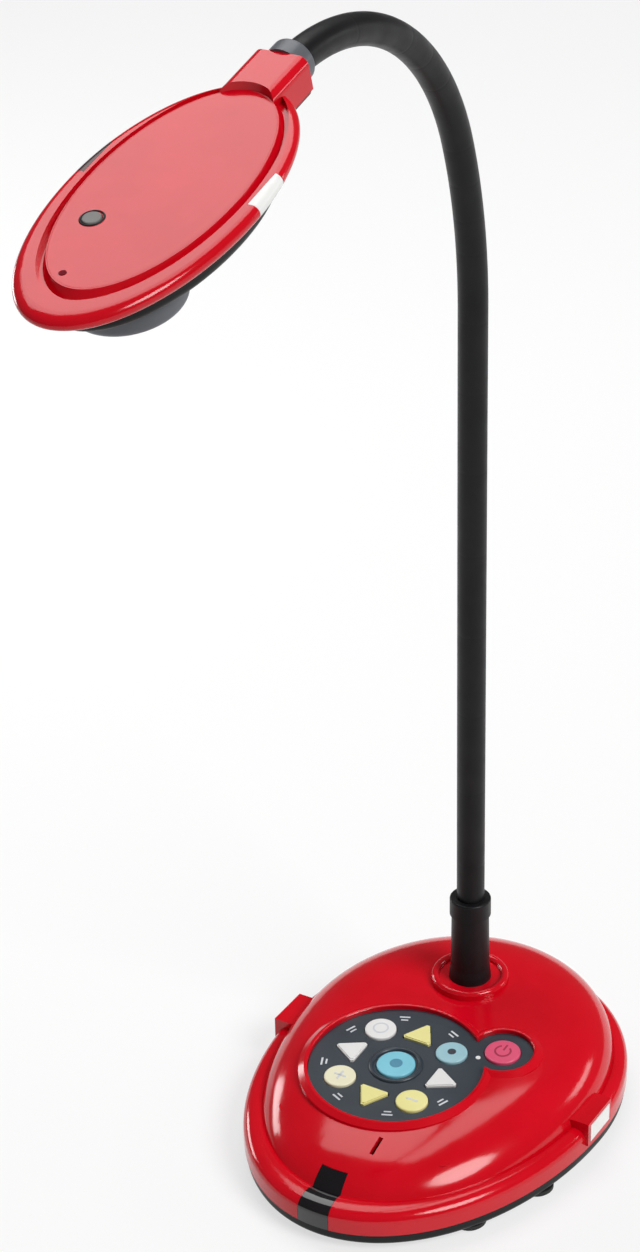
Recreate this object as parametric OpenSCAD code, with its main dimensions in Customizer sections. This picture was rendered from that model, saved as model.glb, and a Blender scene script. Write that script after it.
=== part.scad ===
// Gooseneck video magnifier: weighted base with a key pad, flexible neck and camera head.
// Lengths in mm, +Z up, the base's pointed end and the camera head face -Y.

/* [Base outline] */
// Widest width across the flanks
base_w = 165; // [156:1:176]
// Length from the widest line forward to the tip
base_front = 124; // [118:1:134]
// Length from the widest line back to the rear edge
base_rear = 92; // [86:1:98]

/* [Base heights] */
// Height of the rubber feet under the tray
foot_h = 3; // [2:0.5:4]
// Height of the black tray band
tray_h = 6.5; // [5.5:0.5:8]
// Height of the red skirt above the tray
skirt_h = 11.5; // [10.5:0.5:13]
// Rise of the dome above the skirt
dome_rise = 21; // [19.5:0.5:23]
// Moulded wall thickness
wall = 2.4; // [2:0.1:2.8]

/* [Key pad] */
// Radius of the round key panel
pad_r = 40.5; // [39.5:0.5:42]
// Radius of the power key's part of the panel
power_pad_r = 14.2; // [13.4:0.2:14.8]
// Radius of the four round keys
key_r = 7.4; // [6.4:0.2:7.8]
// Corner radius from centre to point of the arrow keys
arrow_r = 9; // [8:0.1:9.4]
// Radius of the centre key
centre_key_r = 9; // [8.4:0.2:9.6]
// Radius of the power key
power_key_r = 8.3; // [7.4:0.1:8.7]
// How far a key goes down
key_travel = 1; // [0.6:0.1:1.2]
// Clearance between a key and the hole it slides in
key_gap = 0.35; // [0.25:0.05:0.5]

/* [Neck] */
// Outer diameter of the neck's sleeve
neck_d = 13; // [12:0.25:14]
// Height of the black socket on the base
socket_h = 46; // [42:0.5:50]
// Length of the neck's straight lower stretch
neck_straight = 297; // [280:0.5:315]
// Radius of the first, gentle part of the bend
bend1_r = 230; // [200:5:260]
// Radius of the second, tighter part of the bend
bend2_r = 111.5; // [106:0.5:118]
// Clearance between one neck link and the next
link_gap = 0.3; // [0.25:0.05:0.5]

/* [Camera head] */
// Head tilt below level
head_tilt = 15.5; // [8:0.1:20]
// Half width of the head's rim
head_a = 38.5; // [37.5:0.5:40]
// Half width of the flat oval face on top
face_a = 30; // [29:0.2:30.8]
// Radius of the lens ring underneath
lens_ring_r = 22; // [20.5:0.5:23]
// Radius of the front lens
lens_r = 10; // [8:0.5:11]
// How far the head's button goes down
button_travel = 0.8; // [0.5:0.1:1]

/* [Hidden] */
$fn = 64;
eps = 0.02;

// Base outline and where it stands: the origin is under the middle of the whole object
base_a = base_w / 2;
// Inset of a point from the base's outline, in the units of its section
function base_inset(x, y) = base_a - norm([x, y < 0 ? y * base_a / base_front : y * base_a / base_rear]);
widest_y = (base_front - base_rear) / 2;
// The key pad, the neck and the head stand a little left of the outline's middle
neck_x = -6;
neck_y = widest_y + 33.5;
pad_x = -6;
pad_y = widest_y - 38;

// Heights
tray_z = foot_h;
skirt_z = tray_z + tray_h;
skirt_top = skirt_z + skirt_h;
ledge_w = 11;
shoulder_r = 5;
groove_d = 6;
dome_d0 = 6.8;
dome_run = 32;
dome_k = dome_rise / dome_run;
dome_d1 = dome_d0 + dome_run;
dome_z0 = skirt_top - 3;
dome_foot = 6.2;
// The top slopes down to the front: its height over the pad's middle and over the neck
slope = 0.06;
pad_tilt = atan(slope);
top_z = dome_z0 + dome_rise;
seat_z = top_z + slope * (neck_y - pad_y);
floor_z = tray_z + wall;
// Height of the middle of the dome's wall above a point of the base
function dome_mid(d) = d > dome_d1 ? top_z - wall / 2
  : dome_z0 + (dome_rise - wall / 2) * sqrt(1 - pow((dome_d1 - d) / (dome_run - wall / 2 / dome_k), 2));
function boss_top(p) = dome_mid(base_inset(p[0], p[1] - widest_y)) + slope * (p[1] - pad_y);

// Key pad: panel, lip and keys, measured from the pad's middle on the sloping top
power_x = 39.5;
power_y = 29.9;
panel_t = 3;
panel_top = -0.8;
panel_z = panel_top - panel_t;
lip_w = 4.5;
lip_top = 1.5;
plinth_h = 6.5;
pad_ledge = 2.5;
key_top = panel_top + 1.2;
flange_t = 1.2;
flange_z = panel_z - 0.1 - flange_t;
stem_z = flange_z - 3.7;
board_t = 1.6;
switch_h = 1.3;
board_z = stem_z - key_travel - 0.3 - switch_h - board_t;
round_ring = 26.6;
arrow_ring = 23.3;
led_x = 30.9;
led_y = 22;
mic_x = 17;
mic_y = -54.5;
// Places of the eight ring keys, arrows first
key_place = [for (i = [0:7]) let (r = i % 2 == 0 ? arrow_ring : round_ring) [r * cos(45 * i), r * sin(45 * i)]];

// Feet, case screws and rear sockets, measured from the base's middle
feet_inset = 8.5;
foot_r = 8;
front_boss = [40, -62];
rear_boss = [46, 50];
boss_r = 4;
port_z = skirt_z + 5.5;
port_floor = port_z - 3.5;
jack_x = 20;
// Infrared window let into the nose: its angles about the widest line's middle, and its depth
nose_a0 = 264.6;
nose_a1 = 275.4;
nose_d = 13.3;
// Lugs on the flanks
lug_x = base_a + 0.8;
lug_y0 = widest_y - 19;
lug_l = 23;
lug_z = skirt_z + 3.6;
lug_top = skirt_top + 4;

// Neck path in the plane x = 0: straight, then two bends
neck_r = neck_d / 2;
socket_top = seat_z + socket_h;
bend1_a = 20;
bend2_a = 90 + head_tilt - bend1_a;
bend1_s = neck_straight;
bend2_s = bend1_s + bend1_r * bend1_a * PI / 180;
neck_s = bend2_s + bend2_r * bend2_a * PI / 180;
bend1_z = socket_top + neck_straight;
bend2_y = -bend1_r * (1 - cos(bend1_a));
bend2_z = bend1_z + bend1_r * sin(bend1_a);
function heading(s) = s <= bend1_s ? 0
  : s <= bend2_s ? (s - bend1_s) / bend1_r * 180 / PI
  : bend1_a + (s - bend2_s) / bend2_r * 180 / PI;
function on_neck(s) = s <= bend1_s ? [0, 0, socket_top + s]
  : s <= bend2_s ? [0, -bend1_r * (1 - cos(heading(s))), bend1_z + bend1_r * sin(heading(s))]
  : [0, bend2_y - bend2_r * (cos(bend1_a) - cos(heading(s))),
     bend2_z + bend2_r * (sin(heading(s)) - sin(bend1_a))];
// Where the links hinge, as shares of the neck's length
joint_at = [0.036, 0.110, 0.185, 0.260, 0.335, 0.409, 0.478, 0.538, 0.598, 0.628, 0.660, 0, 0.765,
  0.800, 0.835, 0.915];
function joint_s(i) = i == 11 ? bend2_s : joint_at[i] * neck_s;
ball_r = neck_r - 0.2;

// Camera head, measured from the end of the neck with -Y forward
head_end = on_neck(neck_s);
rim_mid = 82.5;
rim_front = 75;
rim_rear = 71.5;
rim_z = 4.2;
rim_t = 6;
groove_h = 2.6;
groove_out = 2.6;
face_mid = 79;
face_b = 61;
face_z = 4.8;
face_foot = -0.5;
head_wall = 2.2;
tray_inset = 6;
tray_low = -11;
tray_round = 3.4;
lens_at = 112;
lens_low = -21;
barrel_low = lens_low + 3.6;
barrel_top = -4;
collar_w = 23;
collar_top = 7.8;
collar_len = 33;
collar_back = 3;
ferrule_r = 9;
ferrule_len = 8;
window_s0 = 60;
window_s1 = 79;
window_in = 34;
button_at = [-14.6, -103.5];
button_r = 3.6;
dot_at = [-7.2, -133.5];
dot_r = 1.4;
screw_at = [16, -48];
boss_low = -6;

// The whole object's middle: half way from the head's tip to the base's rear edge
edge_s = rim_t / 2 * rim_front / head_a;
head_tip_y = neck_y + head_end[1] - (rim_mid + rim_front - edge_s) * cos(head_tilt)
  - (rim_z - rim_t / 2) * sin(head_tilt) - norm([edge_s * cos(head_tilt), rim_t / 2 * sin(head_tilt)]);
base_back_y = (base_front + base_rear) / 2;
base_y = -(head_tip_y + base_back_y) / 2;

red = [0.78, 0.03, 0.08];
black = [0.09, 0.09, 0.1];
charcoal = [0.16, 0.19, 0.22];
grey = [0.42, 0.43, 0.45];
steel = [0.66, 0.67, 0.69];
board_green = [0.08, 0.3, 0.16];
white = [0.94, 0.93, 0.92];
yellow = [0.93, 0.9, 0.62];
blue = [0.42, 0.76, 0.85];
pink = [0.9, 0.28, 0.45];

// Places: the base's middle, its oval, the neck's foot, the head and its rim
module at_base() { translate([0, base_y, 0]) children(); }
module at_oval() { at_base() translate([0, widest_y, 0]) children(); }
module at_neck() { at_base() translate([neck_x, neck_y, 0]) children(); }
module at_pad() { at_base() translate([pad_x, pad_y, top_z]) rotate([pad_tilt, 0, 0]) children(); }
module sloped() {
  at_base() multmatrix([[1, 0, 0, 0], [0, 1, 0, 0], [0, slope, 1, -slope * pad_y], [0, 0, 0, 1]]) children();
}
module at_head() { at_neck() translate(head_end) rotate([head_tilt, 0, 0]) children(); }
module to_rim() { translate([0, -rim_mid, rim_z]) children(); }
module both_sides() {
  children();
  mirror([1, 0, 0]) children();
}

// Turn a section, given as inset from the outline and height, into an egg: a half turn stretched to the
// front and a half turn stretched to the rear, which meet at the widest line
module egg_sweep(a, front, rear) {
  scale([1, front / a, 1]) rotate([0, 0, 180]) rotate_extrude(angle = 180, $fn = 120)
    translate([a, 0]) mirror([1, 0]) children();
  scale([1, rear / a, 1]) rotate_extrude(angle = 180, $fn = 120)
    translate([a, 0]) mirror([1, 0]) children();
}
module base_egg() { translate([0, widest_y, 0]) egg_sweep(base_a, base_front, base_rear) children(); }
module base_sweep() { at_base() base_egg() children(); }
module dome_sweep() { sloped() base_egg() children(); }

// Base: the moulded red shell
module skirt_section() {
  difference() {
    union() {
      translate([0, skirt_z]) square([groove_d, skirt_h - shoulder_r]);
      translate([shoulder_r, skirt_z]) square([groove_d - shoulder_r, skirt_h]);
      translate([shoulder_r, skirt_top - shoulder_r]) circle(shoulder_r);
      translate([groove_d - eps, skirt_z]) square([ledge_w - groove_d + eps, skirt_h - 1.2]);
    }
    translate([wall, skirt_z - 1]) square([ledge_w, skirt_h - wall + 1 - 0.6]);
  }
}
module dome_oval(inset) {
  translate([dome_d1, dome_z0]) scale([1, dome_k]) circle(dome_run - inset / dome_k, $fn = 96);
}
module dome_section() {
  intersection() {
    difference() {
      dome_oval(0);
      dome_oval(wall);
    }
    translate([dome_d0 - 1, dome_z0]) square([dome_run + 1, dome_rise + 1]);
  }
  translate([dome_d0, dome_z0]) polygon([[-0.1 - 0.2 * dome_foot, -dome_foot], [0.5, 3], [2.4, 3], [1.2, -dome_foot]]);
  translate([dome_d1, top_z - wall - 0.2]) square([base_a - dome_d1, wall + 0.2]);
}
module keyhole(grow) {
  circle(pad_r + grow, $fn = 96);
  translate([power_x, power_y]) circle(power_pad_r + grow);
}
module keyhole_prism(grow, z0, z1) {
  translate([0, 0, z0]) linear_extrude(height = z1 - z0) keyhole(grow);
}
module lip_ring(x, y, r) {
  translate([x, y, 0]) rotate_extrude($fn = 96) translate([r, 0]) {
    translate([-pad_ledge - 0.5, -plinth_h]) square([pad_ledge + 3, plinth_h - 0.5]);
    polygon([[0, -3], [0, lip_top - 0.9], [0.9, lip_top - 0.9], [0.9, lip_top], [1.8, lip_top], [lip_w, -0.3],
      [lip_w, -3]]);
    translate([0.9, lip_top - 0.9]) circle(0.9);
  }
}
module neck_seat() {
  rotate_extrude() {
    translate([6, seat_z - 2]) square([9, 3.2]);
    translate([14.5, seat_z - 2]) square([4, 3.6]);
    translate([16.5, seat_z + 1.4]) circle(2);
  }
}
module side_lug() {
  translate([base_a - 11, lug_y0, lug_z]) cube([lug_x - base_a + 11, lug_l, lug_top - lug_z]);
}
module lug_pocket() {
  translate([lug_x - 1.7, lug_y0 + 2, lug_z + 1.4]) cube([3, lug_l - 4, lug_top - lug_z - 3]);
}
module boss(p, top, pilot) {
  translate([p[0], p[1], floor_z + 3]) difference() {
    cylinder(r = boss_r, h = top - floor_z - 3);
    translate([0, 0, -1]) cylinder(r = pilot, h = 14);
  }
}
module nose_sector(grow) {
  translate([0, widest_y, 0]) scale([1, base_front / base_a, 1]) rotate([0, 0, nose_a0 - grow])
    rotate_extrude(angle = nose_a1 - nose_a0 + 2 * grow, $fn = 360) translate([base_a, 0]) mirror([1, 0]) children();
}
module port_holes() {
  translate([jack_x, base_back_y - 22, port_z]) rotate([-90, 0, 0]) cylinder(r = 4.2, h = 40);
  translate([-8, base_back_y - 22, port_floor - 0.2]) cube([16, 40, port_z + 3.2 - port_floor]);
  translate([-29, base_back_y - 22, port_floor - 0.2]) cube([9, 40, port_z + 3.2 - port_floor]);
}
module base_shell() {
  color(red) {
    difference() {
      union() {
        base_sweep() skirt_section();
        dome_sweep() dome_section();
        at_pad() lip_ring(0, 0, pad_r);
        at_pad() lip_ring(power_x, power_y, power_pad_r);
        at_neck() neck_seat();
        at_base() both_sides() side_lug();
      }
      at_pad() keyhole_prism(0.15, panel_z, 20);
      at_pad() keyhole_prism(-pad_ledge, -12, 1);
      at_pad() translate([led_x, led_y, -12]) cylinder(r = 1.6, h = 12);
      at_neck() translate([0, 0, seat_z - 10]) cylinder(r = 6.2, h = 20);
      at_pad() translate([mic_x, mic_y, -12]) cube([2, 9.5, 20]);
      at_base() port_holes();
      at_base() both_sides() lug_pocket();
      at_base() nose_sector(0.1) translate([-2, 2]) square([nose_d + 2.1, 50]);
    }
    at_base() both_sides() boss(front_boss, boss_top(front_boss), 1.55);
    at_base() both_sides() boss(rear_boss, boss_top(rear_boss), 1.55);
    at_pad() for (a = [5, 115, 205, 295]) translate([pad_r * cos(a), pad_r * sin(a), board_z + board_t])
      cylinder(r = 2, h = panel_z - 1.2 - board_z - board_t);
  }
}

// Base: the black tray under the shell, with countersunk screw holes
module tray_section() {
  difference() {
    union() {
      translate([0.6, tray_z + 3]) square([wall + 2, tray_h - 3.1]);
      translate([3.6, tray_z]) square([wall - 1, tray_h - 0.1]);
      translate([3.6, tray_z + 3]) circle(3);
      translate([wall + 0.3, tray_z + 3]) square([2, tray_h]);
    }
    translate([wall + 2.3, floor_z]) square([20, 20]);
  }
  translate([3.6, tray_z]) square([base_a - 3.6, wall]);
}
module tray_holes(p) {
  translate([p[0], p[1], tray_z - 1]) cylinder(r = 1.8, h = 10);
  translate([p[0], p[1], tray_z - 1]) cylinder(r = 3.6, h = 2.2);
}
module base_tray() {
  color(black) difference() {
    union() {
      base_sweep() tray_section();
      at_base() both_sides() for (p = [front_boss, rear_boss]) translate([p[0], p[1], floor_z - eps])
        cylinder(r = 5, h = 3 + eps);
    }
    at_base() both_sides() {
      tray_holes(front_boss);
      tray_holes(rear_boss);
    }
    at_base() port_holes();
  }
}

// Base: six rubber feet, each with a stud that sits in the tray
function foot_at(a) = let (r = base_a - feet_inset)
  [r * cos(a), widest_y + r * sin(a) * (a < 0 ? base_front : base_rear) / base_a];
module foot(p) {
  translate([p[0], p[1], 0]) {
    cylinder(r = foot_r - 1, h = 1);
    translate([0, 0, 1 - eps]) cylinder(r = foot_r, h = foot_h - 1 + eps);
  }
}
module feet() {
  color(black) at_base() both_sides() {
    foot(foot_at(-44));
    foot(foot_at(-22));
    foot(foot_at(50));
  }
}

// Base: screws from below into the shell's bosses
module case_screw(p) {
  translate([p[0], p[1], tray_z + 1.2]) {
    mirror([0, 0, 1]) cylinder(r = 3.1, h = 1);
    cylinder(r = 1.5, h = 11);
  }
}
module case_screws() {
  color(steel) at_base() both_sides() {
    case_screw(front_boss);
    case_screw(rear_boss);
  }
}

// Base: steel ballast on the tray
module ballast() {
  color(steel) at_base() translate([0, -18, floor_z]) difference() {
    cylinder(r = 52, h = 14, $fn = 96);
    both_sides() translate([44, 0, -1]) cylinder(r = 3, h = 20);
  }
}

// Base: main board with the rear sockets on it
board_y = base_back_y - 54;
module main_board() {
  color(board_green) at_base() {
    translate([-32, board_y, port_z - 5.2]) difference() {
      cube([64, 32, board_t]);
      for (x = [5, 59]) for (y = [5, 27]) translate([x, y, -1]) cylinder(r = 1.6, h = 5);
    }
    for (x = [-27, 27]) for (y = [5, 27]) translate([x, board_y + y, floor_z + 0.1])
      cylinder(r = 3, h = port_z - 5.3 - floor_z + eps);
    translate([-22, board_y + 3, port_z - 5.2 + board_t - eps]) cube([16, 16, 2]);
    translate([6, board_y + 6, port_z - 5.2 + board_t - eps]) cube([8, 12, 1.6]);
  }
}
module dc_jack() {
  color(black) at_base() translate([jack_x, board_y, 0]) difference() {
    union() {
      translate([-4.6, 22, port_floor]) cube([9.2, 13, port_z - port_floor + 4.6]);
      translate([0, 34.9, port_z]) rotate([-90, 0, 0]) cylinder(r = 4, h = 13.1);
    }
    translate([0, 30, port_z]) rotate([-90, 0, 0]) difference() {
      cylinder(r = 3.15, h = 20);
      translate([0, 0, -1]) cylinder(r = 1, h = 10);
    }
  }
}
module video_port() {
  color(steel) at_base() translate([0, board_y, 0]) difference() {
    translate([-7.6, 24, port_floor]) cube([15.2, 28, port_z + 3 - port_floor]);
    translate([-7, 28, port_z - 2.3]) difference() {
      cube([14, 30, 4.6]);
      translate([2, -1, 1.8]) cube([10, 14, 1]);
    }
  }
}
module usb_port() {
  color(steel) at_base() translate([0, board_y, 0]) difference() {
    translate([-28.8, 22, port_floor]) cube([8.6, 23.5, port_z + 2.8 - port_floor]);
    translate([-28.2, 26, port_z - 2.2]) difference() {
      cube([7.4, 30, 4.4]);
      translate([1.6, -1, 1.7]) cube([4.2, 11, 0.9]);
    }
  }
}

// Key pad: switch board, panel and keys
module key_switch(p) {
  translate([p[0], p[1], board_z + board_t - eps]) cylinder(r = 2.6, h = switch_h + eps);
}
module key_board() {
  color(board_green) at_pad() {
    translate([0, 0, board_z]) cylinder(r = pad_r + 3, h = board_t, $fn = 96);
    translate([power_x, power_y, board_z]) cylinder(r = power_pad_r - 1, h = board_t);
    for (p = key_place) key_switch(p);
    key_switch([0, 0]);
    key_switch([power_x, power_y]);
  }
}
module arrow2d(r) {
  difference() {
    circle(r, $fn = 3);
    for (a = [0, 120, 240]) rotate(a) translate([r * 0.86, -r]) square([r, 2 * r]);
  }
}
module key_panel() {
  color(charcoal) at_pad() {
    difference() {
      keyhole_prism(0, panel_z, panel_top);
      for (i = [1, 3, 5, 7]) translate([key_place[i][0], key_place[i][1], panel_z - 1])
        cylinder(r = key_r + key_gap, h = 10);
      for (i = [0, 2, 4, 6]) translate([key_place[i][0], key_place[i][1], panel_z - 1]) rotate([0, 0, 45 * i])
        linear_extrude(height = 10) arrow2d(arrow_r + 2 * key_gap);
      translate([0, 0, panel_z - 1]) cylinder(r = centre_key_r + key_gap, h = 10);
      translate([power_x, power_y, panel_z - 1]) cylinder(r = power_key_r + key_gap, h = 10);
      translate([led_x, led_y, panel_z - 1]) cylinder(r = 1.25, h = 10);
    }
    translate([0, 0, panel_top - eps]) rotate_extrude() translate([centre_key_r + 2.4, 0]) intersection() {
      circle(1.2);
      translate([-2, 0]) square(4);
    }
  }
}
module key_foot(r) {
  translate([0, 0, flange_z]) cylinder(r = r, h = flange_t);
  translate([0, 0, stem_z]) cylinder(r = 2.4, h = flange_z - stem_z + eps);
}
module round_key(r) {
  key_foot(r + 1.4);
  rotate_extrude() {
    translate([0, flange_z]) square([r, key_top - 0.8 - flange_z]);
    translate([0, flange_z]) square([r - 0.8, key_top - flange_z]);
    translate([r - 0.8, key_top - 0.8]) circle(0.8);
  }
}
module arrow_key(i) {
  translate([key_place[i][0], key_place[i][1], 0]) {
    key_foot(7.6);
    rotate([0, 0, 45 * i]) {
      translate([0, 0, flange_z]) linear_extrude(height = key_top - 0.5 - flange_z) arrow2d(arrow_r);
      translate([0, 0, key_top - 0.5 - eps]) linear_extrude(height = 0.5 + eps) arrow2d(arrow_r - 0.9);
    }
  }
}
module ring_key(i) { translate([key_place[i][0], key_place[i][1], 0]) round_key(key_r); }
module key_ne() { color(blue) at_pad() ring_key(1); }
module key_nw() { color(white) at_pad() ring_key(3); }
module key_sw() { color(white) at_pad() ring_key(5); }
module key_se() { color(yellow) at_pad() ring_key(7); }
module key_right() { color(white) at_pad() arrow_key(0); }
module key_up() { color(yellow) at_pad() arrow_key(2); }
module key_left() { color(white) at_pad() arrow_key(4); }
module key_down() { color(yellow) at_pad() arrow_key(6); }
module key_centre() { color(blue) at_pad() round_key(centre_key_r); }
module key_power() { color(pink) at_pad() translate([power_x, power_y, 0]) round_key(power_key_r); }
module power_led() {
  color(white) at_pad() translate([led_x, led_y, 0]) {
    translate([0, 0, board_z + board_t]) cylinder(r = 1.15, h = panel_top + 0.2 - board_z - board_t);
  }
}

// Base: infrared window let into the front, and the faces of the side lugs
module ir_window() {
  color(black) {
    at_base() nose_sector(0) intersection() {
      skirt_section();
      square([nose_d, 50]);
    }
    sloped() nose_sector(0) intersection() {
      dome_section();
      square([nose_d, 50]);
    }
  }
}
module lug_faces() {
  color(white) at_base() both_sides() translate([lug_x - 1.6, lug_y0 + 2.1, lug_z + 1.5])
    cube([1.9, lug_l - 4.2, lug_top - lug_z - 3.2]);
}

// Neck: socket, nut and the flexible neck as a row of ball-ended links
module neck_socket() {
  color(black) at_neck() rotate_extrude() difference() {
    union() {
      translate([0, seat_z - wall - 6]) square([6, 13]);
      polygon([[0, seat_z + 1.2], [10, seat_z + 1.2], [9.2, seat_z + 8], [8.8, seat_z + socket_h - 10],
        [8.8, seat_z + socket_h - 9], [0, seat_z + socket_h - 9]]);
      translate([0, seat_z + socket_h - 9]) square([9.7, 8]);
      translate([0, seat_z + socket_h - 2]) square([8.7, 2]);
      translate([8.7, seat_z + socket_h - 1]) circle(1);
    }
    translate([0, seat_z + 16]) square([neck_r + 0.05, 60]);
    translate([-1, 0]) square([4, 200]);
  }
}
module neck_nut() {
  color(steel) at_neck() translate([0, 0, seat_z - wall - 5.2]) difference() {
    cylinder(r = 11, h = 4, $fn = 6);
    translate([0, 0, -1]) cylinder(r = 6.05, h = 6);
  }
}
// One stretch of the neck's path from s0 to s1
module bend_run(r, a0, a1, y, z) {
  translate([0, y - r, z]) rotate([90, 0, 90]) rotate([0, 0, a0])
    rotate_extrude(angle = a1 - a0, $fn = 180) translate([r, 0]) circle(neck_r, $fn = 48);
}
module neck_run(s0, s1) {
  if (s0 < bend1_s) translate(on_neck(s0)) cylinder(r = neck_r, h = min(s1, bend1_s) - s0, $fn = 48);
  if (s0 < bend2_s && s1 > bend1_s)
    bend_run(bend1_r, heading(max(s0, bend1_s)), heading(min(s1, bend2_s)), 0, bend1_z);
  if (s1 > bend2_s)
    bend_run(bend2_r, heading(max(s0, bend2_s)), heading(s1), bend2_y + bend2_r * (1 - cos(bend1_a)),
      bend2_z - bend2_r * sin(bend1_a));
}
module neck_ball(i, r) { translate(on_neck(joint_s(i))) sphere(r, $fn = 48); }
module neck_link(i) {
  color(black) at_neck() difference() {
    union() {
      neck_run(joint_s(i), joint_s(i + 1));
      neck_ball(i, ball_r);
    }
    neck_ball(i + 1, ball_r + link_gap);
  }
}
module neck_root() {
  color(black) at_neck() difference() {
    translate([0, 0, seat_z + 16]) cylinder(r = neck_r, h = socket_h - 16 + joint_s(0), $fn = 48);
    neck_ball(0, ball_r + link_gap);
  }
}
module neck_01() { neck_link(0); }
module neck_02() { neck_link(1); }
module neck_03() { neck_link(2); }
module neck_04() { neck_link(3); }
module neck_05() { neck_link(4); }
module neck_06() { neck_link(5); }
module neck_07() { neck_link(6); }
module neck_08() { neck_link(7); }
module neck_09() { neck_link(8); }
module neck_10() { neck_link(9); }
module neck_11() { neck_link(10); }
module neck_12() { neck_link(11); }
module neck_13() { neck_link(12); }
module neck_14() { neck_link(13); }
module neck_15() { neck_link(14); }
module neck_end() {
  color(black) {
    at_neck() neck_run(joint_s(15), neck_s);
    at_neck() neck_ball(15, ball_r);
    at_head() translate([0, 1, 0]) rotate([90, 0, 0]) cylinder(r = neck_r - 0.2, h = 13, $fn = 48);
  }
}

// Head: red cover with its rim, flat oval face and collar
module rim_section() {
  translate([rim_t / 2, -rim_t]) square([head_a - rim_t / 2, rim_t]);
  translate([rim_t / 2, -rim_t / 2]) circle(rim_t / 2);
}
module face_cone(r0, r1, z0, z1) {
  translate([0, -face_mid, z0]) scale([1, face_b / face_a, 1]) cylinder(r1 = r0, r2 = r1, h = z1 - z0, $fn = 120);
}
module rim_sweep() { egg_sweep(head_a, rim_front, rim_rear) children(); }
module collar_block(w, z0, z1, r, s0, s1) {
  translate([0, -s0, 0]) rotate([90, 0, 0]) linear_extrude(height = s1 - s0) {
    translate([-w / 2, z0]) square([w, z1 - z0 - r]);
    translate([-w / 2 + r, z0]) square([w - 2 * r, z1 - z0]);
    for (x = [-1, 1]) translate([x * (w / 2 - r), z1 - r]) circle(r);
  }
}
module window_box(grow) {
  translate([window_in - grow, -window_s1 - grow, -30]) cube([30, window_s1 - window_s0 + 2 * grow, 60]);
}
module head_boss() {
  translate([screw_at[0], screw_at[1], boss_low]) difference() {
    cylinder(r = 3.2, h = face_z - head_wall / 2 - boss_low);
    translate([0, 0, -1]) cylinder(r = 1.3, h = 9);
  }
}
module head_cover() {
  color(red) at_head() both_sides() head_boss();
  color(red) at_head() difference() {
    union() {
      difference() {
        to_rim() rim_sweep() rim_section();
        face_cone(face_a + groove_out, face_a + groove_out, rim_z - groove_h, rim_z + 10);
      }
      face_cone(face_a + 2, face_a, face_foot, face_z);
      collar_block(collar_w, -5.8, collar_top, 4, -collar_back, collar_len - collar_back);
    }
    face_cone(face_a, face_a + 3, face_z, face_z + 20);
    intersection() {
      to_rim() rim_sweep() translate([tray_inset + head_wall, -30])
        square([head_a - tray_inset - head_wall, 30 - groove_h - 1.6]);
      translate([-50, -160, -30]) cube([100, 130, 40]);
    }
    intersection() {
      face_cone(face_a - head_wall, face_a - head_wall, -20, face_z - head_wall);
      translate([-50, -160, -30]) cube([100, 130, 60]);
    }
    translate([0, collar_back + 1, 0]) rotate([90, 0, 0]) cylinder(r = neck_r + 0.05, h = 13.1 + collar_back);
    both_sides() window_box(0.1);
    translate([button_at[0], button_at[1], -5]) cylinder(r = button_r + 0.3, h = 20);
    translate([dot_at[0], dot_at[1], -5]) cylinder(r = dot_r + 0.1, h = 20);
  }
}

// Head: black lower shell, a bowl cut off along the rim
module bowl_section(inset, round, low) {
  translate([inset, low + round]) square([head_a - inset, 40]);
  translate([inset + round, low]) square([head_a - inset - round, 40]);
  translate([inset + round, low + round]) circle(round);
}
module head_tray() {
  color(black) at_head() difference() {
    union() {
      translate([0, -rim_mid, 0]) rim_sweep() difference() {
        bowl_section(tray_inset, tray_round, tray_low);
        bowl_section(tray_inset + head_wall, tray_round - head_wall, tray_low + head_wall);
      }
      mirror([0, 0, 1]) collar_block(collar_w - 2, 0, 10, 4, -collar_back, collar_len - collar_back);
      both_sides() translate([screw_at[0], screw_at[1], tray_low + head_wall - eps])
        cylinder(r = 4, h = boss_low - tray_low - head_wall + eps);
    }
    to_rim() translate([-60, -100, -rim_t - 0.1]) cube([120, 200, 60]);
    translate([-collar_w / 2 - 0.1, -collar_len + collar_back - 0.1, -5.9]) cube([collar_w + 0.2, collar_len + 5, 40]);
    rotate([90, 0, 0]) translate([0, 0, -collar_back - 1]) cylinder(r = neck_r + 0.05, h = 13.1 + collar_back);
    translate([0, -lens_at, tray_low - 1]) cylinder(r = lens_ring_r + 0.1, h = 5);
    both_sides() translate([screw_at[0], screw_at[1], tray_low - 1]) {
      cylinder(r = 1.5, h = 20);
      cylinder(r = 2.9, h = 2.6);
    }
  }
}
module head_screws() {
  color(steel) at_head() both_sides() translate([screw_at[0], screw_at[1], tray_low + 1.6]) {
    mirror([0, 0, 1]) cylinder(r = 2.6, h = 1.3);
    cylinder(r = 1.25, h = 9);
  }
}
module head_ferrule() {
  color(grey) at_head() translate([0, collar_back + ferrule_len, 0]) rotate([90, 0, 0]) rotate_extrude() difference() {
    union() {
      translate([0, 1.2]) square([ferrule_r, ferrule_len - 1.2]);
      square([ferrule_r - 1.2, ferrule_len]);
      translate([ferrule_r - 1.2, 1.2]) circle(1.2);
    }
    translate([-1, -1]) square([neck_r + 1.6, 30]);
  }
}

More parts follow.
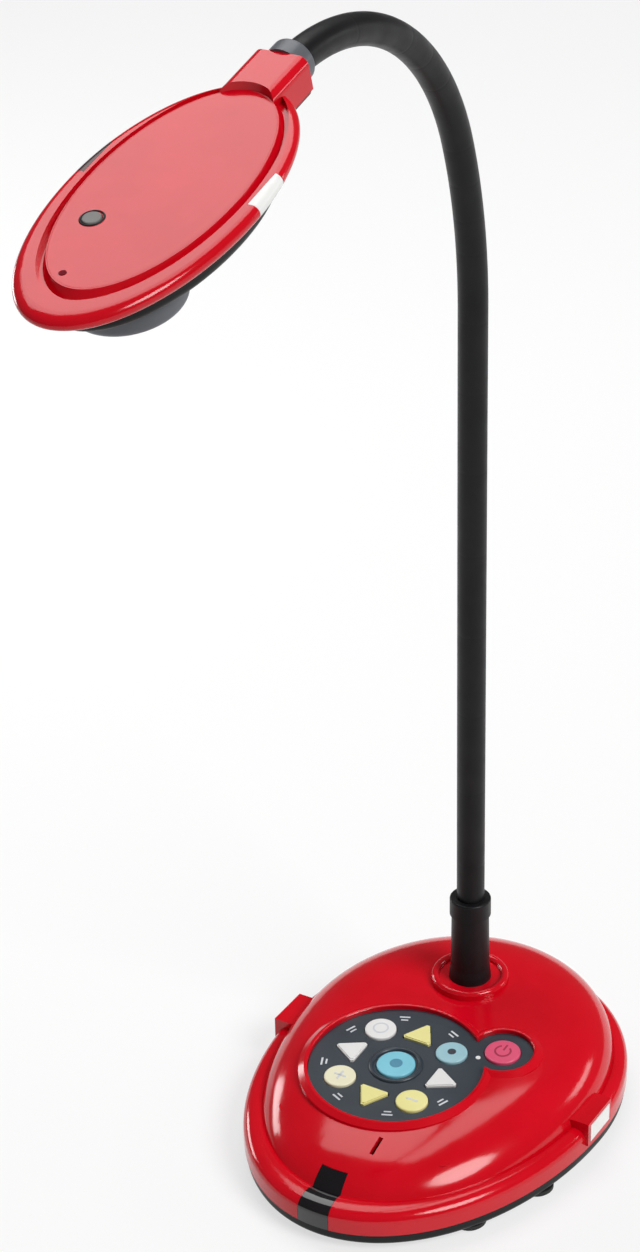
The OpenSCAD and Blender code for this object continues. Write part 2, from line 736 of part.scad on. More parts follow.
// Head: lens ring, barrel, front lens and sensor board
module lens_ring() {
  color(grey) at_head() translate([0, -lens_at, 0]) rotate_extrude() difference() {
    union() {
      translate([0, lens_low + 3]) square([lens_ring_r, tray_low + head_wall - lens_low - 2]);
      translate([0, lens_low]) square([lens_ring_r - 3, 6]);
      translate([lens_ring_r - 3, lens_low + 3]) circle(3);
      translate([0, tray_low + head_wall + 0.1]) square([lens_ring_r + 0.6, 1.6]);
    }
    polygon([[0, lens_low - 1], [lens_r + 7.4, lens_low - 1], [lens_r + 7.4, lens_low], [lens_r + 2.4, lens_low + 3.4],
      [lens_r + 1.1, lens_low + 3.4], [lens_r + 1.1, 10], [0, 10]]);
  }
}
module lens_barrel() {
  color(black) at_head() translate([0, -lens_at, 0]) rotate_extrude() difference() {
    union() {
      translate([0, barrel_low]) square([lens_r + 1, barrel_top - barrel_low]);
      translate([0, tray_low + head_wall + 1.9]) square([lens_r + 4, 1.4]);
    }
    translate([-1, barrel_low - 1]) square([lens_r + 1.03, 4]);
    translate([-1, barrel_low]) square([lens_r - 0.5, 30]);
  }
}
module lens_glass() {
  color(blue) at_head() translate([0, -lens_at, barrel_low + 3]) rotate_extrude() intersection() {
    translate([0, -2.6]) square([lens_r - 0.02, 2.6]);
    translate([0, 2.4 * lens_r - 2.6]) circle(2.4 * lens_r, $fn = 160);
  }
}
module sensor_board() {
  color(board_green) at_head() translate([0, -lens_at, barrel_top + 0.1]) {
    translate([-19, -12, 0]) cube([38, 30, board_t]);
    translate([button_at[0], button_at[1] + lens_at, board_t - eps]) cylinder(r = 1.8, h = 1.2);
    translate([-5, -5, board_t - eps]) cube([10, 10, 1.4]);
  }
}
module lamp_windows() {
  color(white) at_head() both_sides() intersection() {
    to_rim() rim_sweep() rim_section();
    window_box(0);
  }
}
module head_button() {
  color(grey) at_head() translate([button_at[0], button_at[1], 0]) {
    translate([0, 0, face_z - head_wall - 1.5]) cylinder(r = button_r + 1.2, h = 1.4);
    translate([0, 0, barrel_top + board_t + 1.5 + button_travel]) cylinder(r = 1.5, h = face_z - head_wall - barrel_top - board_t
      - 2.4 - button_travel);
    rotate_extrude() {
      translate([0, face_z - head_wall - 1]) square([button_r, head_wall + 1.2]);
      translate([0, face_z - head_wall - 1]) square([button_r - 0.6, head_wall + 1.8]);
      translate([button_r - 0.6, face_z + 0.2]) circle(0.6);
    }
  }
}
module head_led() {
  color([0.35, 0.02, 0.04]) at_head() translate([dot_at[0], dot_at[1], 0]) {
    translate([0, 0, face_z - head_wall - 1]) cylinder(r = dot_r, h = head_wall + 1.2);
  }
}

base_shell();
base_tray();
feet();
case_screws();
ballast();
main_board();
dc_jack();
video_port();
usb_port();
key_board();
key_panel();
key_ne();
key_nw();
key_sw();
key_se();
key_right();
key_up();
key_left();
key_down();
key_centre();
key_power();
power_led();
ir_window();
lug_faces();
neck_socket();
neck_nut();
neck_root();
neck_01();
neck_02();
neck_03();
neck_04();
neck_05();
neck_06();
neck_07();
neck_08();
neck_09();
neck_10();
neck_11();
neck_12();
neck_13();
neck_14();
neck_15();
neck_end();
head_cover();
head_tray();
head_ferrule();
lens_ring();
lens_barrel();
lens_glass();
sensor_board();
lamp_windows();
head_button();
head_led();
head_screws();
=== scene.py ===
"""Looks of a gooseneck video magnifier: glossy red base and camera head, black neck, coloured keys."""

import math

import bmesh
import bpy
from mathutils import Matrix, Vector


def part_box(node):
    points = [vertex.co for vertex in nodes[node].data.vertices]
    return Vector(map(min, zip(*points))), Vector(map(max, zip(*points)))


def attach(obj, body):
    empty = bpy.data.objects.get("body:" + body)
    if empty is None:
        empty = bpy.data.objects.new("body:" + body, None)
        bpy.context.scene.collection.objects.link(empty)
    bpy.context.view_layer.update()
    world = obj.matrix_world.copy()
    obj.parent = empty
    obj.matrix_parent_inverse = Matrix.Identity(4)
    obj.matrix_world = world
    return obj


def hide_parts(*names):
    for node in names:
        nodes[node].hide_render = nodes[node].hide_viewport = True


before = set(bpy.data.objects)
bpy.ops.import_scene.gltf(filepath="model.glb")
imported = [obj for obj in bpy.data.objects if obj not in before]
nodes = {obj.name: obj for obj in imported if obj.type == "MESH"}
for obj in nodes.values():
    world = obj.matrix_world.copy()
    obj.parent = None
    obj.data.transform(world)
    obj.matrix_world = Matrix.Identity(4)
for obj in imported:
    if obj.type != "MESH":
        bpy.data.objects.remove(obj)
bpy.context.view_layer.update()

# Sizes repeated from the solids, in metres; the base's middle comes from the frame
MM = 0.001
base_low, base_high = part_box("base_shell")
BASE_Y = (base_low[1] + base_high[1]) / 2
NECK_X = -6 * MM
NECK_Y = BASE_Y + 49.5 * MM
NECK_R = 6.5 * MM
ROOT_DEPTH = 12 * MM
SOCKET_TOP = 89.29 * MM
STRAIGHT = 297 * MM
BEND_1_R = 230 * MM
BEND_2_R = 111.5 * MM
HEAD_TILT = math.radians(15.5)
BEND_1_A = math.radians(20)
BEND_2_A = math.radians(90) + HEAD_TILT - BEND_1_A
BEND_1_S = STRAIGHT
BEND_2_S = BEND_1_S + BEND_1_R * BEND_1_A
NECK_S = BEND_2_S + BEND_2_R * BEND_2_A

# Joints from the socket to the head, as shares of the neck's length; None is the start of the second bend
JOINT_AT = [0.036, 0.110, 0.185, 0.260, 0.335, 0.409, 0.478, 0.538, 0.598, 0.628, 0.660, None, 0.765,
            0.800, 0.835, 0.915]
JOINTS = len(JOINT_AT)

# Key pad: its own axes lie on the sloping top, with keys and panel measured from there
PAD_SLOPE = math.atan(0.06)
PAD_X = -6 * MM
PAD_Y = BASE_Y - 22 * MM
PAD_Z = 39 * MM
PAD = Matrix.Translation((PAD_X, PAD_Y, PAD_Z)) @ Matrix.Rotation(PAD_SLOPE, 4, "X")
PANEL_TOP = -0.8 * MM
KEY_TOP = 0.4 * MM
ROUND_RING = 26.6 * MM
ARROW_RING = 23.3 * MM
KEYS_AROUND = 8
KEY_STEP = 2 * math.pi / KEYS_AROUND
POWER_X = 39.5 * MM
POWER_Y = 29.9 * MM

# Head: its own axes start at the neck's end, with -Y forward
FACE_MID = 79 * MM
FACE_A = 30 * MM
FACE_B = 61 * MM
FACE_Z = 4.8 * MM
BUTTON_X = -14.6 * MM
BUTTON_Y = -103.5 * MM
BUTTON_R = 3.6 * MM


# Materials: colours run from a darker to a lighter tone, grain scales are per metre, depths in metres
TONE_LOW = 0.3
TONE_HIGH = 0.7
SPREAD_LOW = 0.25
SPREAD_HIGH = 0.75
MOTTLE = 35.0
PATCHES = 2.3 * MOTTLE
GRAIN_STRENGTH = 0.35
COAT_ROUGHNESS = 0.03


def node_material(name):
    mat = bpy.data.materials.new(name)
    mat.use_nodes = True
    tree = mat.node_tree
    shader = tree.nodes["Principled BSDF"]
    coords = tree.nodes.new("ShaderNodeTexCoord")
    return mat, tree, shader, coords


def noise(tree, coords, scale, detail=3.0):
    tex = tree.nodes.new("ShaderNodeTexNoise")
    tex.inputs["Scale"].default_value = scale
    tex.inputs["Detail"].default_value = detail
    tree.links.new(coords.outputs["Object"], tex.inputs["Vector"])
    return tex.outputs["Fac"]


def ramp(tree, fac, low, high):
    node = tree.nodes.new("ShaderNodeValToRGB")
    node.color_ramp.elements[0].position = TONE_LOW
    node.color_ramp.elements[1].position = TONE_HIGH
    node.color_ramp.elements[0].color = (*low, 1)
    node.color_ramp.elements[1].color = (*high, 1)
    tree.links.new(fac, node.inputs["Fac"])
    return node.outputs["Color"]


def spread(tree, fac, low, high):
    node = tree.nodes.new("ShaderNodeMapRange")
    node.inputs["From Min"].default_value = SPREAD_LOW
    node.inputs["From Max"].default_value = SPREAD_HIGH
    node.inputs["To Min"].default_value = low
    node.inputs["To Max"].default_value = high
    tree.links.new(fac, node.inputs["Value"])
    return node.outputs["Result"]


def bump(tree, height, shader, strength, distance):
    node = tree.nodes.new("ShaderNodeBump")
    node.inputs["Strength"].default_value = strength
    node.inputs["Distance"].default_value = distance
    tree.links.new(height, node.inputs["Height"])
    tree.links.new(node.outputs["Normal"], shader.inputs["Normal"])


def moulded(name, dark, light, rough, grain, grain_depth, coat=0.0, metallic=0.0, spec=0.5):
    mat, tree, shader, coords = node_material(name)
    patches = noise(tree, coords, PATCHES, detail=4.0)
    tree.links.new(ramp(tree, noise(tree, coords, MOTTLE), dark, light), shader.inputs["Base Color"])
    tree.links.new(spread(tree, patches, *rough), shader.inputs["Roughness"])
    bump(tree, noise(tree, coords, grain, detail=2.0), shader, GRAIN_STRENGTH, grain_depth)
    shader.inputs["Metallic"].default_value = metallic
    shader.inputs["Specular IOR Level"].default_value = spec
    if coat:
        shader.inputs["Coat Weight"].default_value = coat
        shader.inputs["Coat Roughness"].default_value = COAT_ROUGHNESS
    return mat


def key_plastic(name, dark, light, rough=(0.3, 0.42)):
    return moulded(name, dark, light, rough, grain=1600, grain_depth=0.00004)


def print_ink(name, dark, light, rough=(0.4, 0.55)):
    return moulded(name, dark, light, rough, grain=1500, grain_depth=0.00003)


RED = moulded("red_gloss_moulding", (0.60, 0.0012, 0.009), (0.66, 0.002, 0.013), rough=(0.1, 0.15), grain=420,
              grain_depth=0.00002, spec=0.4)
BLACK = moulded("black_moulding", (0.006, 0.006, 0.007), (0.011, 0.011, 0.012), rough=(0.36, 0.5), grain=2600,
                grain_depth=0.00006, spec=0.22)
RUBBER = moulded("foot_rubber", (0.010, 0.010, 0.010), (0.020, 0.020, 0.021), rough=(0.62, 0.8), grain=1800,
                 grain_depth=0.0001)
CHARCOAL = moulded("key_panel_film", (0.022, 0.031, 0.043), (0.030, 0.042, 0.056), rough=(0.3, 0.42),
                   grain=3000, grain_depth=0.00004)
BUTTON = moulded("button_grey", (0.17, 0.165, 0.16), (0.22, 0.215, 0.21), rough=(0.4, 0.5), grain=1500,
                 grain_depth=0.00005, spec=0.3)
GREY = moulded("grey_moulding", (0.085, 0.092, 0.105), (0.12, 0.128, 0.145), rough=(0.32, 0.45), grain=2200,
               grain_depth=0.00006)
STEEL = moulded("plated_steel", (0.48, 0.48, 0.5), (0.6, 0.6, 0.62), rough=(0.22, 0.34), grain=900,
                grain_depth=0.00004, metallic=1.0)
BALLAST = moulded("raw_steel", (0.2, 0.2, 0.21), (0.32, 0.32, 0.33), rough=(0.4, 0.6), grain=300,
                  grain_depth=0.0001, metallic=1.0)
BOARD = moulded("circuit_board", (0.010, 0.075, 0.026), (0.016, 0.11, 0.04), rough=(0.35, 0.5), grain=500,
                grain_depth=0.00005)
WINDOW = moulded("white_window", (0.84, 0.84, 0.82), (0.9, 0.9, 0.88), rough=(0.14, 0.24), grain=700,
                 grain_depth=0.00003, coat=0.4)
DARK_WINDOW = moulded("dark_window", (0.004, 0.003, 0.004), (0.008, 0.006, 0.008), rough=(0.06, 0.12),
                      grain=300, grain_depth=0.00002, coat=0.5)
DOT = moulded("status_dot", (0.13, 0.002, 0.008), (0.18, 0.004, 0.012), rough=(0.5, 0.6), grain=500,
              grain_depth=0.00002, spec=0.05)
PALE_BLUE = key_plastic("pale_blue_key", (0.30, 0.53, 0.60), (0.36, 0.60, 0.67))
BLUE = key_plastic("blue_key", (0.17, 0.52, 0.66), (0.22, 0.60, 0.73))
WHITE = key_plastic("white_key", (0.76, 0.75, 0.74), (0.85, 0.84, 0.83))
CREAM = key_plastic("cream_key", (0.80, 0.76, 0.52), (0.88, 0.84, 0.62))
YELLOW = key_plastic("yellow_key", (0.80, 0.74, 0.27), (0.88, 0.82, 0.36))
PINK = key_plastic("pink_key", (0.72, 0.075, 0.17), (0.82, 0.11, 0.22), rough=(0.28, 0.4))
MARK = print_ink("dark_print", (0.03, 0.032, 0.045), (0.05, 0.052, 0.07), rough=(0.45, 0.6))
DEEP_BLUE = print_ink("deep_blue_print", (0.06, 0.22, 0.33), (0.08, 0.27, 0.4))
DEEP_PINK = print_ink("deep_pink_print", (0.36, 0.02, 0.06), (0.44, 0.03, 0.08))
PALE_MARK = print_ink("pale_print", (0.55, 0.58, 0.62), (0.7, 0.72, 0.75), rough=(0.45, 0.6))


def sleeve_material():
    mat, tree, shader, coords = node_material("neck_sleeve")
    tree.links.new(ramp(tree, noise(tree, coords, 60), (0.005, 0.005, 0.006), (0.010, 0.010, 0.011)),
                   shader.inputs["Base Color"])
    patches = noise(tree, coords, 140, detail=4.0)
    tree.links.new(spread(tree, patches, 0.34, 0.48), shader.inputs["Roughness"])
    bump(tree, noise(tree, coords, 1500, detail=2.0), shader, strength=0.4, distance=0.00008)
    shader.inputs["Specular IOR Level"].default_value = 0.22
    return mat


def glass_material():
    mat, tree, shader, coords = node_material("coated_lens")
    tree.links.new(ramp(tree, noise(tree, coords, 90), (0.010, 0.012, 0.03), (0.02, 0.02, 0.05)),
                   shader.inputs["Base Color"])
    tree.links.new(spread(tree, noise(tree, coords, 200), 0.02, 0.06), shader.inputs["Roughness"])
    shader.inputs["Coat Weight"].default_value = 1.0
    shader.inputs["Coat Roughness"].default_value = 0.02
    shader.inputs["Coat IOR"].default_value = 1.8
    shader.inputs["Coat Tint"].default_value = (0.75, 0.8, 1.0, 1)
    return mat


def lamp_window_painted_shade_material():
    """White diffuser on the right; the left side is coloured dark as painted shade, where the photograph
    shows a dark notch.
    """
    painted_shade_end = 0.35
    white_start = 0.65
    mat, tree, shader, coords = node_material("lamp_window")
    axes = tree.nodes.new("ShaderNodeSeparateXYZ")
    tree.links.new(coords.outputs["Object"], axes.inputs["Vector"])
    side = tree.nodes.new("ShaderNodeMath")
    side.operation = "GREATER_THAN"
    side.inputs[1].default_value = NECK_X
    tree.links.new(axes.outputs["X"], side.inputs[0])
    blend = tree.nodes.new("ShaderNodeMath")
    blend.operation = "MULTIPLY_ADD"
    blend.inputs[1].default_value = white_start
    tree.links.new(side.outputs["Value"], blend.inputs[0])
    tree.links.new(spread(tree, noise(tree, coords, 40), 0.0, painted_shade_end), blend.inputs[2])
    colours = tree.nodes.new("ShaderNodeValToRGB")
    stops = colours.color_ramp.elements
    # The dark stops are painted shade on the left side; the light stops are the diffuser's own white
    stops[0].color = (0.035, 0.006, 0.008, 1)
    stops[1].color = (0.88, 0.88, 0.86, 1)
    stops.new(painted_shade_end).color = (0.055, 0.008, 0.011, 1)
    stops.new(white_start).color = (0.82, 0.82, 0.80, 1)
    tree.links.new(blend.outputs["Value"], colours.inputs["Fac"])
    tree.links.new(colours.outputs["Color"], shader.inputs["Base Color"])
    tree.links.new(spread(tree, noise(tree, coords, 80, detail=4.0), 0.2, 0.32), shader.inputs["Roughness"])
    return mat


SLEEVE = sleeve_material()
LAMP_WINDOW = lamp_window_painted_shade_material()
LENS = glass_material()

PAINT = {
    "base_shell": RED, "head_cover": RED, "base_tray": BLACK, "head_tray": BLACK, "neck_socket": BLACK,
    "lens_barrel": BLACK, "dc_jack": BLACK, "feet": RUBBER, "case_screws": STEEL, "head_screws": STEEL,
    "neck_nut": STEEL, "video_port": STEEL, "usb_port": STEEL, "ballast": BALLAST, "main_board": BOARD,
    "key_board": BOARD, "sensor_board": BOARD, "key_panel": CHARCOAL, "key_ne": PALE_BLUE,
    "key_centre": BLUE, "key_nw": WHITE, "key_right": WHITE, "key_left": WHITE, "key_sw": CREAM,
    "key_se": YELLOW, "key_up": YELLOW, "key_down": YELLOW, "key_power": PINK, "power_led": WINDOW,
    "lug_faces": WINDOW, "lamp_windows": LAMP_WINDOW, "ir_window": DARK_WINDOW, "head_ferrule": GREY,
    "lens_ring": GREY, "head_button": BUTTON, "lens_glass": LENS, "head_led": DOT,
}
for name, obj in nodes.items():
    obj.data.materials.clear()
    obj.data.materials.append(PAINT.get(name, SLEEVE))


# Meshes: a new piece from its faces, and thin raised prints
PRINT_RISE = 0.12 * MM
PRINT_SINK = 0.1 * MM


def new_object(name, bm, mat, smooth=True):
    mesh = bpy.data.meshes.new(name)
    bm.normal_update()
    bm.to_mesh(mesh)
    bm.free()
    for poly in mesh.polygons:
        poly.use_smooth = smooth
    mesh.materials.append(mat)
    obj = bpy.data.objects.new(name, mesh)
    bpy.context.scene.collection.objects.link(obj)
    return obj


def flat_print(name, loops, place, body, mat):
    """Thin raised print made of flat outlines, each in metres about the place's own axes."""
    bm = bmesh.new()
    for loop in loops:
        low = [bm.verts.new(place @ Vector((x, y, -PRINT_SINK))) for x, y in loop]
        high = [bm.verts.new(place @ Vector((x, y, PRINT_RISE))) for x, y in loop]
        bm.faces.new(high)
        bm.faces.new(low[::-1])
        n = len(loop)
        for i in range(n):
            bm.faces.new((low[i], low[(i + 1) % n], high[(i + 1) % n], high[i]))
    bmesh.ops.recalc_face_normals(bm, faces=bm.faces)
    obj = new_object(name, bm, mat, smooth=False)
    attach(obj, body)


# Neck: a smooth sleeve, cut at every joint; a half ball stops a little short of its tip, and a flat closes it
SLEEVE_SIDES = 40
SLEEVE_STEP = 1.6 * MM
SLEEVE_MIN_STEPS = 6
BALL_STEPS = 7
BALL_FLAT = 0.2
BALL_STEP = math.pi / 2 / (BALL_STEPS + BALL_FLAT)


def heading(s):
    if s <= BEND_1_S:
        return 0.0
    if s <= BEND_2_S:
        return (s - BEND_1_S) / BEND_1_R
    return BEND_1_A + (s - BEND_2_S) / BEND_2_R


def on_neck(s):
    a = heading(s)
    bend_y = -BEND_1_R * (1 - math.cos(BEND_1_A))
    bend_z = SOCKET_TOP + STRAIGHT + BEND_1_R * math.sin(BEND_1_A)
    if s <= BEND_1_S:
        return Vector((NECK_X, NECK_Y, SOCKET_TOP + s))
    if s <= BEND_2_S:
        y = -BEND_1_R * (1 - math.cos(a))
        return Vector((NECK_X, NECK_Y + y, SOCKET_TOP + STRAIGHT + BEND_1_R * math.sin(a)))
    y = bend_y - BEND_2_R * (math.cos(BEND_1_A) - math.cos(a))
    return Vector((NECK_X, NECK_Y + y, bend_z + BEND_2_R * (math.sin(a) - math.sin(BEND_1_A))))


def along(s):
    return Vector((0, -math.sin(heading(s)), math.cos(heading(s))))


def joint_s(i):
    return BEND_2_S if JOINT_AT[i] is None else JOINT_AT[i] * NECK_S


def sleeve(name, s0, s1, ball_start, ball_end):
    """Tube along the neck, closed by half balls about the joints, so that no gap shows when a joint turns."""
    stations = []
    for k in range(BALL_STEPS if ball_start else 0, 0, -1):
        t = k * BALL_STEP
        stations.append((on_neck(s0) - NECK_R * math.sin(t) * along(s0), s0, NECK_R * math.cos(t)))
    steps = max(SLEEVE_MIN_STEPS, int((s1 - s0) / SLEEVE_STEP))
    for k in range(steps + 1):
        s = s0 + (s1 - s0) * k / steps
        stations.append((on_neck(s), s, NECK_R))
    for k in range(1, BALL_STEPS + 1 if ball_end else 1):
        t = k * BALL_STEP
        stations.append((on_neck(s1) + NECK_R * math.sin(t) * along(s1), s1, NECK_R * math.cos(t)))
    bm = bmesh.new()
    rings = []
    for mid, s, r in stations:
        out = Vector((0, math.cos(heading(s)), math.sin(heading(s))))
        ring = []
        for n in range(SLEEVE_SIDES):
            t = 2 * math.pi * n / SLEEVE_SIDES
            ring.append(bm.verts.new(mid + r * (Vector((math.cos(t), 0, 0)) + math.sin(t) * out)))
        rings.append(ring)
    for low, high in zip(rings, rings[1:]):
        for n in range(SLEEVE_SIDES):
            m = (n + 1) % SLEEVE_SIDES
            bm.faces.new((low[n], low[m], high[m], high[n]))
    bm.faces.new(rings[0][::-1])
    bm.faces.new(rings[-1])
    bmesh.ops.recalc_face_normals(bm, faces=bm.faces)
    return new_object(name, bm, SLEEVE)


links = ["base"] + ["neck_%02d" % i for i in range(1, JOINTS)] + ["head"]
cuts = [-ROOT_DEPTH] + [joint_s(i) for i in range(JOINTS)] + [NECK_S]
for i, body in enumerate(links):
    piece = sleeve("neck_sleeve_%02d" % i, cuts[i], cuts[i + 1], ball_start=i > 0, ball_end=i < JOINTS)
    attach(piece, body)
    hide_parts({"base": "neck_root", "head": "neck_end"}.get(body, body))


# Marks printed on the keys and the panel
def disc(x, y, r, sides=28):
    return [(x + r * math.cos(2 * math.pi * i / sides), y + r * math.sin(2 * math.pi * i / sides))
            for i in range(sides)]


def bar(x, y, length, width, turn):
    reach = Vector((math.cos(turn), math.sin(turn))) * length / 2
    side = Vector((-math.sin(turn), math.cos(turn))) * width / 2
    mid = Vector((x, y))
    return [tuple(mid - reach - side), tuple(mid + reach - side), tuple(mid + reach + side),
            tuple(mid - reach + side)]


def arc(x, y, r, width, start, sweep, steps=20):
    turns = [start + sweep * i / steps for i in range(steps + 1)]
    outer = [(x + (r + width / 2) * math.cos(t), y + (r + width / 2) * math.sin(t)) for t in turns]
    inner = [(x + (r - width / 2) * math.cos(t), y + (r - width / 2) * math.sin(t)) for t in turns]
    return [[outer[i], outer[i + 1], inner[i + 1], inner[i]] for i in range(steps)]


def key_place(step):
    ring = ARROW_RING if step % 2 == 0 else ROUND_RING
    return ring * math.cos(step * KEY_STEP), ring * math.sin(step * KEY_STEP)


DOT_R = 2 * MM
RING_R = 3.4 * MM
RING_WIDTH = 0.8 * MM
SIGN_LENGTH = 6 * MM
SIGN_WIDTH = 1 * MM
CENTRE_DOT_R = 3 * MM
POWER_R = 3.6 * MM
POWER_WIDTH = 0.9 * MM
POWER_STROKE = 4 * MM
POWER_STROKE_MID = 2.6 * MM
POWER_START = math.radians(125)
POWER_SWEEP = math.radians(290)
UPRIGHT = math.pi / 2

# Label dashes between the keys in two rows: radius of the row, length and width of its dashes
LABEL_ROWS = [(34.5 * MM, 5 * MM, 0.9 * MM), (32.4 * MM, 3.4 * MM, 0.8 * MM)]

on_keys = PAD @ Matrix.Translation((0, 0, KEY_TOP))
on_panel = PAD @ Matrix.Translation((0, 0, PANEL_TOP))
ne, nw, sw, se = (key_place(step) for step in (1, 3, 5, 7))
flat_print("mark_ne", [disc(*ne, DOT_R)], on_keys, "key_ne", MARK)
flat_print("mark_nw", arc(*nw, RING_R, RING_WIDTH, 0, 2 * math.pi), on_keys, "key_nw", PALE_MARK)
plus = [bar(*sw, SIGN_LENGTH, SIGN_WIDTH, UPRIGHT * i) for i in range(2)]
flat_print("mark_sw", plus, on_keys, "key_sw", PALE_MARK)
flat_print("mark_se", [bar(*se, SIGN_LENGTH, SIGN_WIDTH, 0)], on_keys, "key_se", PALE_MARK)
flat_print("mark_centre", [disc(0, 0, CENTRE_DOT_R)], on_keys, "key_centre", DEEP_BLUE)
power_sign = arc(POWER_X, POWER_Y, POWER_R, POWER_WIDTH, POWER_START, POWER_SWEEP)
power_sign.append(bar(POWER_X, POWER_Y + POWER_STROKE_MID, POWER_STROKE, POWER_WIDTH, UPRIGHT))
flat_print("mark_power", power_sign, on_keys, "key_power", DEEP_PINK)

# The gap next to the power key has no label
labels = []
for step in range(1, KEYS_AROUND):
    turn = (step + 0.5) * KEY_STEP
    for r, length, width in LABEL_ROWS:
        labels.append(bar(r * math.cos(turn), r * math.sin(turn), length, width, turn + UPRIGHT))
flat_print("panel_labels", labels, on_panel, "base", PALE_MARK)


# Head: a rounded bead along the edge of the face, and a black ring round the button as painted shade of the
# gap there
def ring_tube(name, place, mid, a, b, tube, body, mat, steps=160, sides=12):
    bm = bmesh.new()
    rings = []
    for i in range(steps):
        t = 2 * math.pi * i / steps
        centre = Vector((mid[0] + a * math.cos(t), mid[1] + b * math.sin(t), mid[2]))
        out = Vector((b * math.cos(t), a * math.sin(t), 0)).normalized()
        ring = []
        for n in range(sides):
            u = 2 * math.pi * n / sides
            skin = math.cos(u) * out + Vector((0, 0, math.sin(u)))
            ring.append(bm.verts.new(place @ (centre + tube * skin)))
        rings.append(ring)
    for i in range(steps):
        near, far = rings[i], rings[(i + 1) % steps]
        for n in range(sides):
            m = (n + 1) % sides
            bm.faces.new((near[n], near[m], far[m], far[n]))
    bmesh.ops.recalc_face_normals(bm, faces=bm.faces)
    obj = new_object(name, bm, mat)
    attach(obj, body)


HEAD = Matrix.Translation(on_neck(NECK_S)) @ Matrix.Rotation(HEAD_TILT, 4, "X")
BEAD = 0.7 * MM
BEAD_SINK = 0.8 * BEAD
BEAD_INSET = 0.7 * BEAD
GAP_SHADE_TUBE = 0.45 * MM
GAP_SHADE_R = BUTTON_R + 0.75 * MM
ring_tube("face_edge", HEAD, (0, -FACE_MID, FACE_Z - BEAD_SINK), FACE_A - BEAD_INSET, FACE_B - BEAD_INSET,
          BEAD, "head", RED)
# Black ring on the face round the button hole: painted shade for the gap
ring_tube("button_gap_shade", HEAD, (BUTTON_X, BUTTON_Y, FACE_Z), GAP_SHADE_R, GAP_SHADE_R, GAP_SHADE_TUBE, "head", BLACK, steps=48)


# Studio: pale floor, soft box overhead to the left, strips at the left and the rear right, broad sun as fill
WHITE_SHARE = 0.65
FLOOR_HALF = 60.0
FLOOR_DROP = 0.2 * MM
SKY_STRENGTH = 0.12
BASE_AIM = (0, 0.05, 0.04)


def seen_white(tree, shader):
    """Lets the floor look nearly white where it is seen, without lighting the object, and keep its shadow."""
    path = tree.nodes.new("ShaderNodeLightPath")
    seen = path.outputs["Is Camera Ray"]
    for ray in ("Is Glossy Ray", "Is Transmission Ray"):
        either = tree.nodes.new("ShaderNodeMath")
        either.operation = "MAXIMUM"
        tree.links.new(seen, either.inputs[0])
        tree.links.new(path.outputs[ray], either.inputs[1])
        seen = either.outputs["Value"]
    share = tree.nodes.new("ShaderNodeMath")
    share.operation = "MULTIPLY"
    share.inputs[1].default_value = WHITE_SHARE
    tree.links.new(seen, share.inputs[0])
    white = tree.nodes.new("ShaderNodeEmission")
    white.inputs["Strength"].default_value = 1.0
    mix = tree.nodes.new("ShaderNodeMixShader")
    tree.links.new(share.outputs["Value"], mix.inputs["Fac"])
    tree.links.new(shader.outputs["BSDF"], mix.inputs[1])
    tree.links.new(white.outputs["Emission"], mix.inputs[2])
    tree.links.new(mix.outputs["Shader"], tree.nodes["Material Output"].inputs["Surface"])


def floor():
    bm = bmesh.new()
    bmesh.ops.create_grid(bm, x_segments=4, y_segments=4, size=FLOOR_HALF)
    mat, tree, shader, coords = node_material("studio_floor")
    tree.links.new(ramp(tree, noise(tree, coords, 1.5), (0.87, 0.87, 0.87), (0.89, 0.89, 0.89)),
                   shader.inputs["Base Color"])
    shader.inputs["Roughness"].default_value = 0.9
    shader.inputs["Specular IOR Level"].default_value = 0.1
    seen_white(tree, shader)
    obj = new_object("studio_floor", bm, mat)
    obj.location.z = -FLOOR_DROP


floor()


def area_light(name, place, aim, size, watts):
    data = bpy.data.lights.new(name, "AREA")
    data.shape = "RECTANGLE"
    data.size = size[0]
    data.size_y = size[1]
    data.energy = watts
    obj = bpy.data.objects.new(name, data)
    bpy.context.scene.collection.objects.link(obj)
    obj.location = place
    obj.rotation_mode = "QUATERNION"
    obj.rotation_quaternion = (Vector(aim) - Vector(place)).to_track_quat("-Z", "Y")


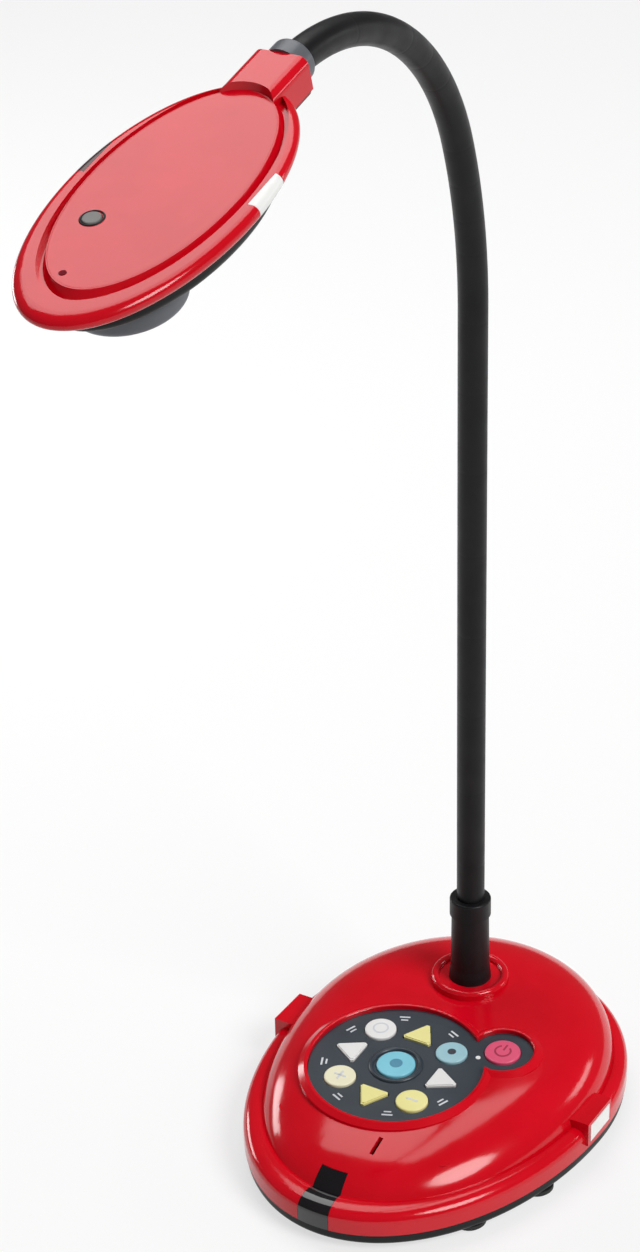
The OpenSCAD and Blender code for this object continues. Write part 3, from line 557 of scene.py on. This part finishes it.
def sun_light(name, toward, strength, spread_angle):
    data = bpy.data.lights.new(name, "SUN")
    data.energy = strength
    data.angle = math.radians(spread_angle)
    obj = bpy.data.objects.new(name, data)
    bpy.context.scene.collection.objects.link(obj)
    obj.rotation_mode = "QUATERNION"
    obj.rotation_quaternion = Vector(toward).to_track_quat("Z", "Y")


area_light("soft_box", place=(-0.44, 0.52, 1.5), aim=(-0.44, 0.53, 0), size=(1.18, 1.04), watts=11.5)
area_light("left_strip", place=(-1.5, 0.3, 0.4), aim=BASE_AIM, size=(0.6, 0.3), watts=5)
area_light("right_strip", place=(1.3, 1.5, 0.85), aim=BASE_AIM, size=(0.7, 0.25), watts=3)
sun_light("right_fill", toward=(0.95, -0.2, 0.95), strength=2.1, spread_angle=28)

world = bpy.data.worlds.new("studio")
bpy.context.scene.world = world
world.use_nodes = True
back_light = world.node_tree.nodes["Background"]
back_light.inputs["Color"].default_value = (1, 1, 1, 1)
back_light.inputs["Strength"].default_value = SKY_STRENGTH

# Camera at the photograph's place, fitted to it: angles, focal length in its pixels, and the eye's place
AZ = math.radians(31.43)
EL = math.radians(28.96)
ROLL = math.radians(-1.33)
FOCAL_PX = 3081
PHOTO_H_PX = 1252
SENSOR_MM = 36
EYE = Vector((0.56208, BASE_Y - 1.00964, 0.89967))
back = Vector((math.sin(AZ) * math.cos(EL), -math.cos(AZ) * math.cos(EL), math.sin(EL)))
level = Vector((math.cos(AZ), math.sin(AZ), 0))
rise = level.cross(-back)
right = level * math.cos(ROLL) + rise * math.sin(ROLL)
up = -level * math.sin(ROLL) + rise * math.cos(ROLL)
camera_data = bpy.data.cameras.new("photo_camera")
camera_data.sensor_width = SENSOR_MM
camera_data.lens = FOCAL_PX / PHOTO_H_PX * SENSOR_MM
camera_data.clip_start = 0.05
camera_data.clip_end = 50
camera = bpy.data.objects.new("photo_camera", camera_data)
bpy.context.scene.collection.objects.link(camera)
camera.matrix_world = Matrix((
    (right.x, up.x, back.x, EYE.x),
    (right.y, up.y, back.y, EYE.y),
    (right.z, up.z, back.z, EYE.z),
    (0, 0, 0, 1)))
bpy.context.scene.camera = camera
bpy.context.scene.view_settings.view_transform = "Standard"
